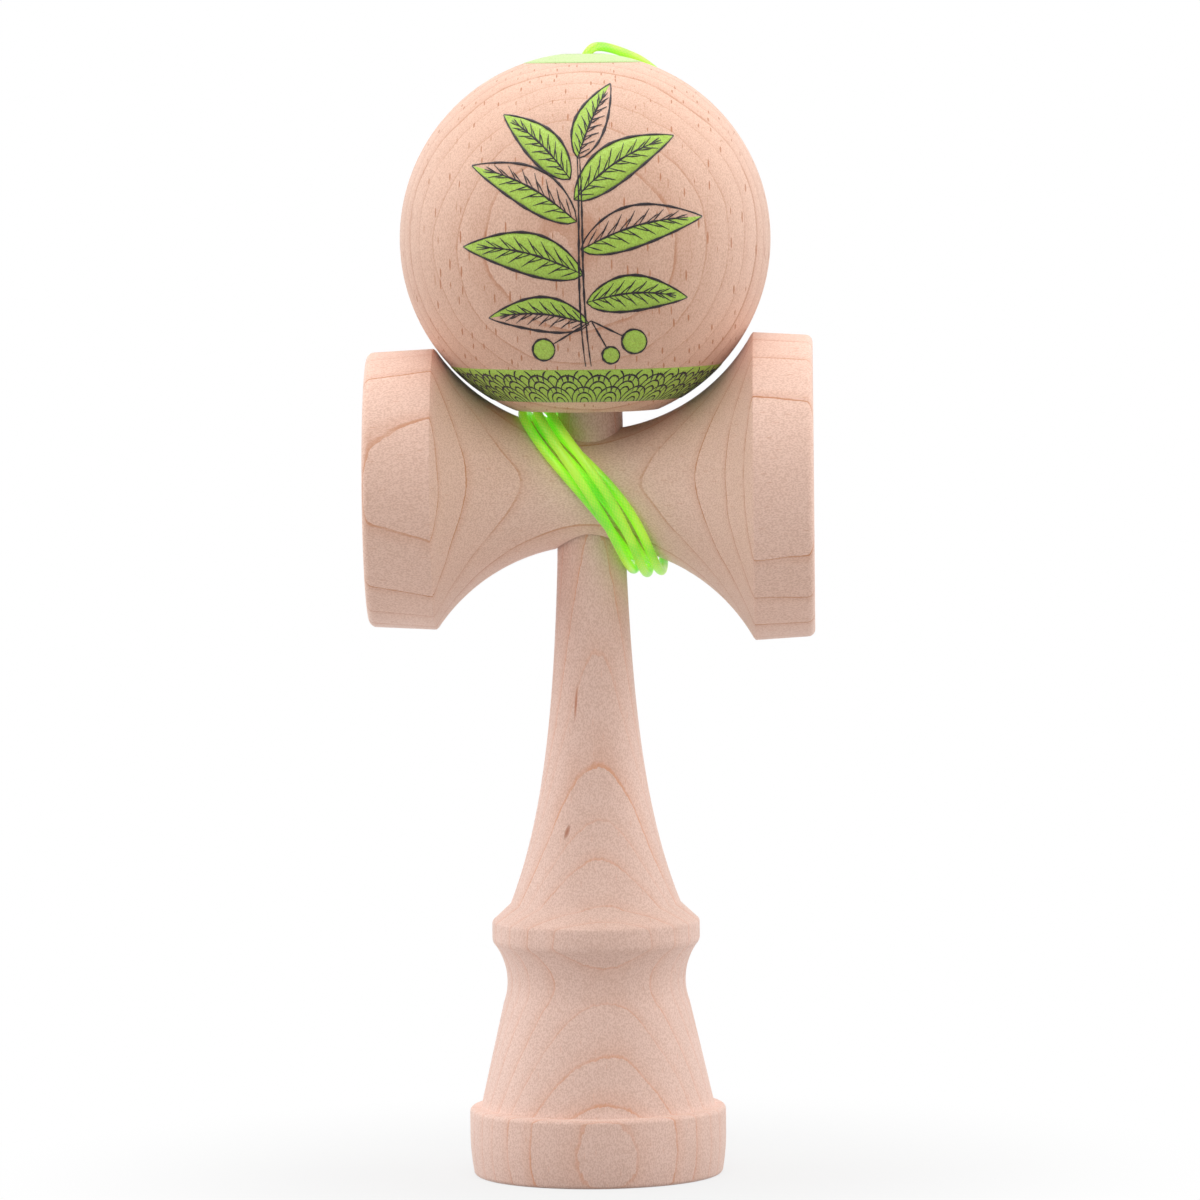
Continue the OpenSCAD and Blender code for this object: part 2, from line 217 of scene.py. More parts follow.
def value_node(nodes, links, kind, operation, *inputs):
    """A Math or Vector Math node with its inputs linked or set."""
    node = nodes.new(kind)
    node.operation = operation
    for socket, given in zip(node.inputs, inputs):
        if isinstance(given, bpy.types.NodeSocket):
            links.new(given, socket)
        else:
            socket.default_value = given
    gives_value = kind == "ShaderNodeMath" or operation == "LENGTH"
    return node.outputs["Value" if gives_value else "Vector"]


def new_material(name):
    """An empty node material with its Principled shader."""
    material = bpy.data.materials.new(name)
    material.use_nodes = True
    nodes, links = material.node_tree.nodes, material.node_tree.links
    return material, nodes, links, nodes["Principled BSDF"]


# Its braid: sixteen neon yarns that cross over and under each other
yarns_each_way = 8.0
lays_per_mm = 1.25
neon_braid, nodes, links, shader = new_material("neon_braid")
braid_uv = nodes.new("ShaderNodeUVMap")
braid_uv.uv_map = "UVMap"
split = nodes.new("ShaderNodeSeparateXYZ")
links.new(braid_uv.outputs["UV"], split.inputs["Vector"])


def braid_math(operation, *inputs):
    return value_node(nodes, links, "ShaderNodeMath", operation, *inputs)


around = braid_math("MULTIPLY", split.outputs["X"], yarns_each_way)
pitch = braid_math("MULTIPLY", split.outputs["Y"], lays_per_mm)
right_lay = braid_math("ADD", around, pitch)
left_lay = braid_math("SUBTRACT", around, pitch)
right_full = braid_math("SINE", braid_math("MULTIPLY", braid_math("FRACT", right_lay), pi))
left_full = braid_math("SINE", braid_math("MULTIPLY", braid_math("FRACT", left_lay), pi))
crossing = braid_math("ADD", braid_math("FLOOR", right_lay), braid_math("FLOOR", left_lay))
over_under = braid_math("ABSOLUTE", braid_math("MODULO", crossing, 2.0))
right_yarn = braid_math("MULTIPLY", right_full, braid_math("MULTIPLY_ADD", left_full, 0.5, 0.5))
left_yarn = braid_math("MULTIPLY", left_full, braid_math("MULTIPLY_ADD", right_full, 0.5, 0.5))
yarn = nodes.new("ShaderNodeMix")
links.new(over_under, yarn.inputs["Factor"])
links.new(right_yarn, yarn.inputs["A"])
links.new(left_yarn, yarn.inputs["B"])
# Painted shade and painted highlight: each yarn's height picks its colour, dark green at its sides and where
# it dips under a crossing yarn, yellow-green on its crown. Random dye noise is added on top
yarn_shade_ramp = nodes.new("ShaderNodeValToRGB")
yarn_shade_ramp.color_ramp.elements[0].color = (0.19, 0.78, 0.03, 1)
yarn_shade_ramp.color_ramp.elements[1].color = (0.52, 0.97, 0.06, 1)
yarn_shade_ramp.color_ramp.elements[1].position = 0.8
yarn_relief_shade = braid_math("MULTIPLY_ADD", yarn.outputs["Result"], 0.5, 0.3)
dye = nodes.new("ShaderNodeTexNoise")
dye.inputs["Scale"].default_value = 150
dye.inputs["Detail"].default_value = 1
links.new(nodes.new("ShaderNodeTexCoord").outputs["Object"], dye.inputs["Vector"])
dye_and_relief_shade = braid_math("MULTIPLY_ADD", braid_math("SUBTRACT", dye.outputs["Fac"], 0.5), 2.2, yarn_relief_shade)
links.new(dye_and_relief_shade, yarn_shade_ramp.inputs["Fac"])
links.new(yarn_shade_ramp.outputs["Color"], shader.inputs["Base Color"])
# The emission is a painted glow, standing in for the brightness of the neon yarn's fluorescence. It carries
# the painted shade and highlight of the ramp
links.new(yarn_shade_ramp.outputs["Color"], shader.inputs["Emission Color"])
shader.inputs["Emission Strength"].default_value = 0.23
shader.inputs["Roughness"].default_value = 0.33
shader.inputs["Sheen Weight"].default_value = 0.08
braid_bump = nodes.new("ShaderNodeBump")
braid_bump.inputs["Strength"].default_value = 0.2
braid_bump.inputs["Distance"].default_value = 0.08 * mm
links.new(yarn.outputs["Result"], braid_bump.inputs["Height"])
links.new(braid_bump.outputs["Normal"], shader.inputs["Normal"])


def tie_knot(name, centre, axis):
    """A tight overhand knot: a trefoil of the same cord, drawn up on its hole."""
    knot_steps = 72
    lobe_r, lobe_swing, lobe_rise = 0.78, 0.40, 0.52
    tight_cord_r = 0.68
    turn_to = Vector((0, 0, 1)).rotation_difference(axis)
    loop = []
    for i in range(knot_steps):
        a = 2 * pi * i / knot_steps
        out = lobe_r + lobe_swing * cos(3 * a)
        point = Vector((out * cos(2 * a), out * sin(2 * a), lobe_rise * sin(3 * a)))
        loop.append((centre + turn_to @ point) * mm)
    return lay_cord(name, loop, tight_cord_r * mm, 12, closed=True)


knot_half = 1.3
string = lay_cord("string", string_path, string_d / 2 * mm, 16)
ken_knot_middle = Vector((0, pocket_floor_y - knot_half, sarado_z))
ken_knot = tie_knot("string_knot_in_ken", ken_knot_middle, Vector((0, 1, 0)))
tama_knot_middle = Vector((tama_x, 0, knot_top_z - knot_half))
tama_knot = tie_knot("string_knot_in_tama", tama_knot_middle, Vector((0, 0, 1)))
for piece in (string, ken_knot, tama_knot):
    piece.data.materials.append(neon_braid)
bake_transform(string)
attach(ken_knot, "ken")
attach(tama_knot, "string_end")
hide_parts("string_in_ken", "string_winding", "string_run", "string_in_tama")
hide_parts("ken_knot")
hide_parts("tama_knot")


# Ken: the upright, turned in one piece from pale maple. Base cup underneath, base ring, skirt,
# waist and collar, then the long neck, which narrows up to the shank and the spike.
# It is pushed through the sarado's bore and holds there by its taper.


def arc(cx, cy, r, from_a, to_a, steps):
    """Points along an arc between two angles in degrees."""
    angles = [radians(from_a + (to_a - from_a) * i / steps) for i in range(steps + 1)]
    return [(cx + r * cos(a), cy + r * sin(a)) for a in angles]


def cap_radius(mouth, depth):
    """The radius of the ball that cuts a hollow with this mouth radius and depth."""
    return (mouth ** 2 + depth ** 2) / (2 * depth)


def turn_on_lathe(name, outline, centre, axis, steps=160):
    """Draws an outline point by point and spins it round the lathe's axis."""
    bpy.ops.object.select_all(action="DESELECT")
    bpy.ops.mesh.primitive_plane_add(size=mm, location=outline[0])
    piece = bpy.context.object
    piece.name = piece.data.name = name
    bpy.ops.object.transform_apply(location=True, rotation=True, scale=True)
    bpy.ops.object.mode_set(mode="EDIT")
    bpy.ops.mesh.select_all(action="SELECT")
    bpy.ops.mesh.merge(type="CENTER")
    for here, there in zip(outline, outline[1:]):
        bpy.ops.mesh.extrude_vertices_move(TRANSFORM_OT_translate={"value": there - here})
    bpy.ops.mesh.select_all(action="SELECT")
    bpy.ops.mesh.spin(steps=steps, angle=2 * pi, center=centre, axis=axis)
    bpy.ops.mesh.select_all(action="SELECT")
    bpy.ops.mesh.remove_doubles(threshold=0.01 * mm)
    bpy.ops.mesh.normals_make_consistent(inside=False)
    bpy.ops.object.mode_set(mode="OBJECT")
    bpy.ops.object.shade_smooth_by_angle(angle=radians(35))
    return piece


def bore_out(piece, name, start, end, start_r, end_r):
    """Drills a straight or tapered hole from start to end, then cleans the edges of the cut."""
    way = end - start
    bpy.ops.object.select_all(action="DESELECT")
    bpy.ops.mesh.primitive_cone_add(
        vertices=64, radius1=start_r, radius2=end_r, depth=way.length,
        location=(start + end) / 2, rotation=way.to_track_quat("Z", "Y").to_euler())
    drill = bpy.context.object
    drill.name = name
    bpy.ops.object.select_all(action="DESELECT")
    piece.select_set(True)
    bpy.context.view_layer.objects.active = piece
    cut = piece.modifiers.new(name, "BOOLEAN")
    cut.operation = "DIFFERENCE"
    cut.solver = "MANIFOLD"
    cut.object = drill
    bpy.ops.object.modifier_apply(modifier=name)
    bpy.data.objects.remove(drill)
    # The cut leaves an empty material slot behind
    piece.data.materials.clear()
    bpy.ops.object.mode_set(mode="EDIT")
    bpy.ops.mesh.select_all(action="SELECT")
    bpy.ops.mesh.remove_doubles(threshold=0.02 * mm)
    bpy.ops.mesh.select_all(action="DESELECT")
    bpy.ops.mesh.select_mode(type="FACE")
    bpy.ops.mesh.select_face_by_sides(number=4, type="GREATER")
    bpy.ops.mesh.quads_convert_to_tris(ngon_method="BEAUTY")
    bpy.ops.mesh.select_mode(type="VERT")
    bpy.ops.mesh.select_all(action="SELECT")
    bpy.ops.mesh.dissolve_degenerate(threshold=0.005 * mm)
    bpy.ops.object.mode_set(mode="OBJECT")


base_cup_r, base_cup_depth, base_cup_a = 17.4, 6.2, 38.3
base_cup_ball_r = cap_radius(base_cup_r, base_cup_depth)
base_lip_r, lip_edge = 17.7, 0.35
base_r, base_rim_r, base_edge, base_ring_h, base_wide_z = 21.05, 20.5, 0.8, 11.3, 7
bulge_r = cap_radius(base_wide_z - base_edge, base_r - base_rim_r)
skirt_foot_r, skirt_top_z = 19.2, 28.4
ken_waist_r, ken_waist_z = 14.65, 32
collar_r, collar_top_z, collar_low_z = 17.05, 42.4, 37.9
collar_edge, collar_foot_edge, collar_foot_a = 0.9, 1.9, 45
collar_foot_r = collar_r - collar_foot_edge * (1 - cos(radians(collar_foot_a)))
shoulder_r, shoulder_z = 14, 44.7
neck_z, flare_rate = 101, 2.45
shank_top_z, tip_r, spike_top_z = 125, 1.9, 162.99
string_hole_r, knot_pocket_r, drill_reach = 1.0, 2.2, 8
waist_arc_r = cap_radius(collar_low_z - ken_waist_z, collar_foot_r - ken_waist_r)
waist_up_a = degrees(asin((collar_low_z - ken_waist_z) / waist_arc_r))
waist_down_a = degrees(asin((ken_waist_z - skirt_top_z) / waist_arc_r))
skirt_top_r = ken_waist_r + waist_arc_r * (1 - cos(radians(waist_down_a)))
ken_outline = arc(0, base_cup_depth - base_cup_ball_r, base_cup_ball_r, 90, 90 - base_cup_a, 20)
ken_outline += arc(base_lip_r, lip_edge, lip_edge, 205, 270, 4)
ken_outline += arc(base_rim_r - base_edge, base_edge, base_edge, -90, -6, 6)
ken_outline += arc(base_r - bulge_r, base_wide_z, bulge_r, -8.5, 0, 8)
ken_outline += arc(base_r - base_edge, base_ring_h - base_edge, base_edge, 0, 90, 6)
ken_outline += [(skirt_foot_r + 0.4, base_ring_h), (skirt_foot_r + 0.08, base_ring_h + 0.06)]
for u in (max(i / 12, 0.011) for i in range(12)):
    ken_outline.append((skirt_foot_r + (skirt_top_r - skirt_foot_r) * u,
                        base_ring_h + (skirt_top_z - base_ring_h) * u))
ken_outline += arc(ken_waist_r + waist_arc_r, ken_waist_z, waist_arc_r,
                   180 + waist_down_a, 180 - waist_up_a, 24)
ken_outline += arc(collar_r - collar_foot_edge, collar_low_z + collar_foot_edge * sin(radians(collar_foot_a)),
                   collar_foot_edge, -collar_foot_a + 5, 0, 8)
ken_outline += arc(collar_r - collar_edge, collar_top_z - collar_edge, collar_edge, 0, 60, 5)


def flare(u):
    """The neck's radius from its thin top, 0, down to the shoulder, 1."""
    return neck_r + (shoulder_r - neck_r) * (exp(flare_rate * u) - 1) / (exp(flare_rate) - 1)


ken_outline += [(flare(1 - i / 48), neck_z - (neck_z - shoulder_z) * (1 - i / 48)) for i in range(49)]
ken_outline += [(neck_r + (spike_r - neck_r) * i / 8, neck_z + (shank_top_z - neck_z) * i / 8)
                for i in range(1, 9)]
tip_round_z = spike_top_z - tip_r
taper_a = degrees(atan((spike_r - tip_r) / (tip_round_z - shank_top_z)))
ken_outline += [(spike_r + (tip_r - spike_r) * i / 12, shank_top_z + (tip_round_z - shank_top_z) * i / 12)
                for i in range(1, 12)]
ken_outline += arc(0, tip_round_z, tip_r, taper_a, 90, 10)
ken = turn_on_lathe("ken_turned", [Vector((r, 0, z)) * mm for r, z in ken_outline], (0, 0, 0), (0, 0, 1))
bore_out(ken, "string_hole", Vector((0, pocket_floor_y - 0.5, sarado_z)) * mm,
         Vector((0, drill_reach, sarado_z)) * mm, string_hole_r * mm, string_hole_r * mm)
bore_out(ken, "knot_pocket", Vector((0, pocket_floor_y, sarado_z)) * mm,
         Vector((0, -drill_reach, sarado_z)) * mm, knot_pocket_r * mm, knot_pocket_r * mm)


# Its maple: growth rings round a pith that lies far behind the piece, so that they come out on
# the turned front as arches and ovals, with a fine stipple of pores and short ray flecks
growth_rings = bpy.data.node_groups.new("growth_rings", "ShaderNodeTree")
growth_rings.interface.new_socket("Place", in_out="INPUT", socket_type="NodeSocketVector")
for socket_name in ("Spacing", "Late Wood", "Wander", "Jag", "Fleck Width", "Fleck Length"):
    growth_rings.interface.new_socket(socket_name, in_out="INPUT", socket_type="NodeSocketFloat")
for socket_name in ("Rings", "Stipple", "Flecks", "Tone"):
    growth_rings.interface.new_socket(socket_name, in_out="OUTPUT", socket_type="NodeSocketFloat")
nodes, links = growth_rings.nodes, growth_rings.links
given = nodes.new("NodeGroupInput").outputs
result = nodes.new("NodeGroupOutput").inputs


def ring_math(operation, *inputs):
    return value_node(nodes, links, "ShaderNodeMath", operation, *inputs)


def ring_vector(operation, *inputs):
    return value_node(nodes, links, "ShaderNodeVectorMath", operation, *inputs)


def ring_noise(stretch, detail):
    noise = nodes.new("ShaderNodeTexNoise")
    noise.inputs["Scale"].default_value = 1
    noise.inputs["Detail"].default_value = detail
    links.new(ring_vector("MULTIPLY", given["Place"], stretch), noise.inputs["Vector"])
    return noise.outputs["Fac"]


def ring_fade(value, low, high, from_value, to_value):
    fade = nodes.new("ShaderNodeMapRange")
    fade.interpolation_type = "SMOOTHSTEP"
    links.new(value, fade.inputs["Value"])
    for socket_name, number in (("From Min", low), ("From Max", high),
                                ("To Min", from_value), ("To Max", to_value)):
        fade.inputs[socket_name].default_value = number
    return fade.outputs["Result"]


slow_noise = ring_math("SUBTRACT", ring_noise((0.07, 0.07, 0.03), 2), 0.5)
wander = ring_math("MULTIPLY", slow_noise, given["Wander"])
fine_noise = ring_math("SUBTRACT", ring_noise((1.3, 1.3, 0.5), 3), 0.5)
jag = ring_math("MULTIPLY", fine_noise, given["Jag"])
depth = ring_vector("LENGTH", ring_vector("MULTIPLY", given["Place"], (1, 1, 0)))
depth = ring_math("ADD", ring_math("ADD", depth, wander), jag)
uneven = nodes.new("ShaderNodeTexNoise")
uneven.noise_dimensions = "1D"
uneven.inputs["Scale"].default_value = 0.31
uneven.inputs["Detail"].default_value = 1
links.new(depth, uneven.inputs["W"])
unevenness = ring_math("MULTIPLY", ring_math("SUBTRACT", uneven.outputs["Fac"], 0.5), 0.5)
year = ring_math("ADD", ring_math("DIVIDE", depth, given["Spacing"]), unevenness)
to_edge = ring_math("MULTIPLY", ring_math("SUBTRACT", 1.0, ring_math("FRACT", year)), given["Spacing"])
year_tone = nodes.new("ShaderNodeTexWhiteNoise")
year_tone.noise_dimensions = "1D"
links.new(ring_math("FLOOR", year), year_tone.inputs["W"])
to_edge = ring_math("DIVIDE", to_edge, given["Late Wood"])
line = ring_fade(to_edge, 0.2, 1.0, 1.0, 0.0)
halo = ring_fade(to_edge, 0.0, 5.0, 0.3, 0.0)
strength = ring_math("MULTIPLY_ADD", year_tone.outputs["Value"], 0.6, 0.45)
broken = ring_fade(ring_noise((0.35, 0.35, 0.12), 2), 0.3, 0.6, 0.55, 1.0)
whole_rings = ring_math("MULTIPLY", ring_math("MAXIMUM", line, halo), strength)
links.new(ring_math("MULTIPLY", whole_rings, broken), result["Rings"])
links.new(ring_fade(ring_noise((4.8, 4.8, 2.9), 1), 0.40, 0.62, 0.0, 1.0), result["Stipple"])
links.new(ring_fade(ring_noise((0.05, 0.05, 0.018), 3), 0.3, 0.7, 0.0, 1.0), result["Tone"])
fleck_room = (1.9, 1.5, 3.3)
fleck_depth = 0.65
cell = nodes.new("ShaderNodeTexVoronoi")
cell.inputs["Scale"].default_value = 1
fleck_place = ring_vector("DIVIDE", given["Place"], fleck_room)
links.new(fleck_place, cell.inputs["Vector"])
fleck_offset = nodes.new("ShaderNodeSeparateXYZ")
from_middle = ring_vector("SUBTRACT", fleck_place, cell.outputs["Position"])
links.new(ring_vector("MULTIPLY", from_middle, fleck_room), fleck_offset.inputs["Vector"])
across = ring_math("DIVIDE", fleck_offset.outputs["X"], given["Fleck Width"])
lengthwise = ring_math("DIVIDE", fleck_offset.outputs["Z"], given["Fleck Length"])
inwards = ring_math("DIVIDE", fleck_offset.outputs["Y"], fleck_depth)
fleck_reach = ring_math("ADD", ring_math("MULTIPLY", across, across),
                        ring_math("MULTIPLY", lengthwise, lengthwise))
fleck_reach = ring_math("SQRT", ring_math("ADD", fleck_reach, ring_math("MULTIPLY", inwards, inwards)))
fleck_kind = nodes.new("ShaderNodeSeparateColor")
links.new(cell.outputs["Color"], fleck_kind.inputs["Color"])
links.new(ring_math("MULTIPLY", ring_fade(fleck_reach, 0.7, 1.0, 1.0, 0.0),
                    ring_fade(fleck_kind.outputs["Red"], 0.2, 0.7, 0.0, 1.0)), result["Flecks"])


def mix_colour(nodes, links, factor, a, b, kind="MIX"):
    """A colour Mix node with its inputs linked or set."""
    mix = nodes.new("ShaderNodeMix")
    mix.data_type = "RGBA"
    mix.blend_type = kind
    for socket, given_value in ((mix.inputs[0], factor), (mix.inputs[6], a), (mix.inputs[7], b)):
        if isinstance(given_value, bpy.types.NodeSocket):
            links.new(given_value, socket)
        else:
            socket.default_value = given_value
    return mix.outputs[2]


def turned_wood(name, pith, turn, spacing, wander, jag, pale, deep, ring_colour, ring_share, fleck_share,
                late_wood=0.23, fleck_width=0.1, fleck_length=0.7, pore_shade=(0.86, 0.80, 0.76, 1)):
    """Sanded wood, with its pith given in millimetres after the turn that stands the grain upright."""
    material, nodes, links, shader = new_material(name)
    place = nodes.new("ShaderNodeTexCoord")
    stand = nodes.new("ShaderNodeMapping")
    stand.inputs["Scale"].default_value = (1000, 1000, 1000)
    stand.inputs["Rotation"].default_value = turn
    stand.inputs["Location"].default_value = [-c for c in pith]
    links.new(place.outputs["Object"], stand.inputs["Vector"])
    grain = nodes.new("ShaderNodeGroup")
    grain.node_tree = growth_rings
    links.new(stand.outputs["Vector"], grain.inputs["Place"])
    for socket_name, number in (("Spacing", spacing), ("Late Wood", late_wood), ("Wander", wander),
                                ("Jag", jag), ("Fleck Width", fleck_width), ("Fleck Length", fleck_length)):
        grain.inputs[socket_name].default_value = number
    tone = value_node(nodes, links, "ShaderNodeMath", "MULTIPLY", grain.outputs["Tone"], 0.45)
    colour = mix_colour(nodes, links, tone, pale, deep)
    colour = mix_colour(nodes, links, grain.outputs["Stipple"], colour, pore_shade, "MULTIPLY")
    rings = value_node(nodes, links, "ShaderNodeMath", "MULTIPLY", grain.outputs["Rings"], ring_share)
    colour = mix_colour(nodes, links, rings, colour, ring_colour)
    flecks = value_node(nodes, links, "ShaderNodeMath", "MULTIPLY", grain.outputs["Flecks"], fleck_share)
    colour = mix_colour(nodes, links, flecks, colour, ring_colour)
    links.new(colour, shader.inputs["Base Color"])
    rough = value_node(nodes, links, "ShaderNodeMath", "MULTIPLY_ADD", grain.outputs["Stipple"], 0.14, 0.46)
    links.new(rough, shader.inputs["Roughness"])
    shader.inputs["Specular IOR Level"].default_value = 0.3
    shader.inputs["Sheen Weight"].default_value = 0.22
    shader.inputs["Sheen Roughness"].default_value = 0.45
    bump = nodes.new("ShaderNodeBump")
    bump.inputs["Strength"].default_value = 0.45
    bump.inputs["Distance"].default_value = 0.05 * mm
    links.new(grain.outputs["Stipple"], bump.inputs["Height"])
    links.new(bump.outputs["Normal"], shader.inputs["Normal"])
    return material, nodes, links, shader, colour


maple_pale = (0.95, 0.68, 0.585, 1)
maple_deep = (0.80, 0.55, 0.455, 1)
maple_line = (0.76, 0.32, 0.155, 1)
ken_maple, nodes, links, shader, colour = turned_wood(
    "ken_maple", pith=(-3.4, 40.97, 0), turn=(radians(-3), 0, 0), spacing=2.28, wander=1.6, jag=0.24,
    pale=maple_pale, deep=maple_deep, ring_colour=maple_line, ring_share=0.72, fleck_share=0.2)

# Two short mineral streaks on the front of its neck
ken_place = nodes.new("ShaderNodeSeparateXYZ")
links.new(nodes.new("ShaderNodeTexCoord").outputs["Object"], ken_place.inputs["Vector"])


def streak_math(operation, *inputs):
    return value_node(nodes, links, "ShaderNodeMath", operation, *inputs)


on_neck_front = streak_math("LESS_THAN", ken_place.outputs["Y"], 0.0)
# middle, half width and half length in millimetres, lean and colour
for streak_x, streak_z, half_wide, half_tall, lean, tint in (
    (-2.7, 78.2, 0.26, 3.4, 0.08, (0.60, 0.25, 0.15, 1)),
    (-4.3, 57.3, 0.44, 1.4, 0.33, (0.50, 0.21, 0.13, 1)),
):
    up = streak_math("SUBTRACT", ken_place.outputs["Z"], streak_z * mm)
    aside = streak_math("SUBTRACT", ken_place.outputs["X"], streak_x * mm)
    aside = streak_math("SUBTRACT", aside, streak_math("MULTIPLY", up, lean))
    aside = streak_math("DIVIDE", aside, half_wide * mm)
    up = streak_math("DIVIDE", up, half_tall * mm)
    reach = streak_math("ADD", streak_math("MULTIPLY", aside, aside), streak_math("MULTIPLY", up, up))
    mask = streak_math("MULTIPLY", streak_math("SUBTRACT", 1.0, reach), on_neck_front)
    colour = mix_colour(nodes, links, streak_math("MAXIMUM", mask, 0.0), colour, tint)
links.new(colour, shader.inputs["Base Color"])
ken.data.materials.append(ken_maple)
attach(ken, "ken")
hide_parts("ken")


# Sarado: the cross piece, turned from the same maple with its grain along it. A large and a
# small cup are hollowed into its ends, and a tapered bore through its waist takes the ken.
sarado_half = 36.5
big_cup_r, big_cup_depth, big_cup_a = 22.3, 10.8, 51
small_cup_r, small_cup_depth, small_cup_a = 20.1, 8.6, 46
big_lip_r, small_lip_r = 22.6, 20.4
big_end_r, small_end_r, end_edge = 24.7, 22.5, 1.2
big_ridge_x, small_ridge_x, ridge_edge, ridge_sink = 26.9, 25.65, 0.25, 0.02
big_band, small_band = 8.4, 9.7
big_waist_x, small_waist_x = 26.45, 25.2
big_cup_ball_r = cap_radius(big_cup_r, big_cup_depth)
small_cup_ball_r = cap_radius(small_cup_r, small_cup_depth)
sarado_outline = arc(0, -sarado_half + small_cup_depth - small_cup_ball_r, small_cup_ball_r,
                     90, 90 - small_cup_a, 20)
sarado_outline += arc(small_lip_r, -sarado_half + lip_edge, lip_edge, 135, 270, 4)
sarado_outline += arc(small_end_r - end_edge, -sarado_half + end_edge, end_edge, -90, 0, 6)
sarado_outline += [(small_end_r + (small_flare_r - small_end_r) * i / 6,
                    -sarado_half + end_edge + small_band * i / 6) for i in range(1, 6)]
sarado_outline += arc(small_flare_r - ridge_edge, -small_ridge_x + ridge_sink, ridge_edge, 2, 70, 4)
for i in range(41):
    x = -small_waist_x * (1 - i / 40)
    sarado_outline.append((waist_at(x), x))
for i in range(1, 41):
    x = big_waist_x * i / 40
    sarado_outline.append((waist_at(x), x))
sarado_outline += arc(big_flare_r - ridge_edge, big_ridge_x - ridge_sink, ridge_edge, -70, -2, 4)
sarado_outline += [(big_flare_r + (big_end_r - big_flare_r) * i / 6, big_ridge_x + big_band * i / 6)
                   for i in range(1, 6)]
sarado_outline += arc(big_end_r - end_edge, sarado_half - end_edge, end_edge, 0, 90, 6)
sarado_outline += arc(big_lip_r, sarado_half - lip_edge, lip_edge, 90, 225, 4)
sarado_outline += arc(0, sarado_half - big_cup_depth + big_cup_ball_r, big_cup_ball_r,
                      -90 + big_cup_a, -90, 20)
sarado = turn_on_lathe("sarado_turned", [Vector((x, 0, sarado_z + r)) * mm for r, x in sarado_outline],
                       (0, 0, sarado_z * mm), (1, 0, 0))
# The bore, a little relief at its foot, the string's hole at the back and its eased mouth: name,
# start and end as distances behind and above the sarado's axis, and the radius at each
bore_half, bore_foot_r, bore_top_r = 12, 5.7, 5.35
relief_top, relief_r, hole_reach = 6, 5.95, 10
ease_depth, ease_rise, ease_mouth_r = 3.4, 0.6, 3.6
for hole, start, end, start_r, end_r in (
    ("ken_bore", (0, -bore_half), (0, bore_half), bore_foot_r, bore_top_r),
    ("bore_relief", (0, -bore_half), (0, -relief_top), relief_r, relief_r),
    ("string_hole", (0, 0), (hole_reach, 0), string_hole_r, string_hole_r),
    ("string_ease", (waist_r - ease_depth, 0), (waist_r + ease_rise, 0), string_hole_r, ease_mouth_r),
):
    bore_out(sarado, hole, Vector((0, start[0], sarado_z + start[1])) * mm,
             Vector((0, end[0], sarado_z + end[1])) * mm, start_r * mm, end_r * mm)
# Its grain lies along it and leans a little out of its axis
grain_lean = -0.05
grain_lie = Matrix.Rotation(grain_lean, 3, "X") @ Matrix.Rotation(pi / 2, 3, "Y")
sarado_maple = turned_wood(
    "sarado_maple", pith=(107.5, 44.0, 0), turn=grain_lie.to_euler(), spacing=4.3, wander=2.0, jag=0.13,
    pale=(0.97, 0.68, 0.565, 1), deep=(0.83, 0.55, 0.43, 1), ring_colour=(0.63, 0.25, 0.11, 1),
    ring_share=1.0, fleck_share=0.3)[0]
sarado.data.materials.append(sarado_maple)
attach(sarado, "ken")
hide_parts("sarado")


# Tama: the ball, turned from beech, bored out from below with a bevelled mouth for the spike,
# and drilled through its top for the string.
bore_r, mouth_r, mouth_bevel = 10.5, 11.7, 1.35
top_wood, cone_h = 9.5, 8
ease_r, ease_edge, ease_low = 3.2, 0.1, 3.4
cone_top_z = tama_z + tama_r - top_wood
bore_end_z = cone_top_z - cone_h
mouth_z = tama_z - sqrt(tama_r ** 2 - mouth_r ** 2)
bevel_z = mouth_z + mouth_bevel
ease_top_z = tama_z + sqrt(tama_r ** 2 - ease_r ** 2)
top_a = 90 - degrees(asin((ease_r + ease_edge) / tama_r))
mouth_a = -90 + degrees(asin((mouth_r + 0.1) / tama_r))
tama_outline = arc(0, tama_z, tama_r, top_a, mouth_a, 150)
tama_outline += [(mouth_r - 0.1, mouth_z + 0.1), (bore_r + 0.1, mouth_z + 1.1), (bore_r, bevel_z)]
tama_outline += [(bore_r, bevel_z + (bore_end_z - bevel_z) * i / 8) for i in range(1, 9)]
tama_outline += [(string_hole_r, cone_top_z), (string_hole_r, ease_top_z - ease_low)]
tama_outline += [(3.05, ease_top_z - 0.16), tama_outline[0]]
tama = turn_on_lathe("tama_turned", [Vector((tama_x + r, 0, z)) * mm for r, z in tama_outline],
                     (tama_x * mm, 0, 0), (0, 0, 1))
ball_grain = {"pith": (tama_x, 160, 0), "turn": (0, 0, 0), "spacing": 3.4, "wander": 4.0, "jag": 0.15}
tama_beech = turned_wood(
    "tama_beech", **ball_grain, pale=(0.87, 0.575, 0.445, 1), deep=(0.74, 0.47, 0.345, 1),
    ring_colour=(0.53, 0.205, 0.095, 1), ring_share=0.72, fleck_share=0.9, late_wood=0.5,
    fleck_width=0.16, fleck_length=1.2)[0]
tama.data.materials.append(tama_beech)
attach(tama, "tama")
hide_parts("tama")


# Print on the tama: thin films of green and dark ink on the sanded ball. A leafy sprig on the
# front, a band of wave scales low down and a round cap at the top.
film = 0.04
over_green = film * 2


def on_front(u, v, lift):
    """A point in millimetres right of and above the ball's middle, laid on its front."""
    r = tama_r + lift
    return Vector((tama_x + u, -sqrt(r * r - u * u - v * v), tama_z + v)) * mm


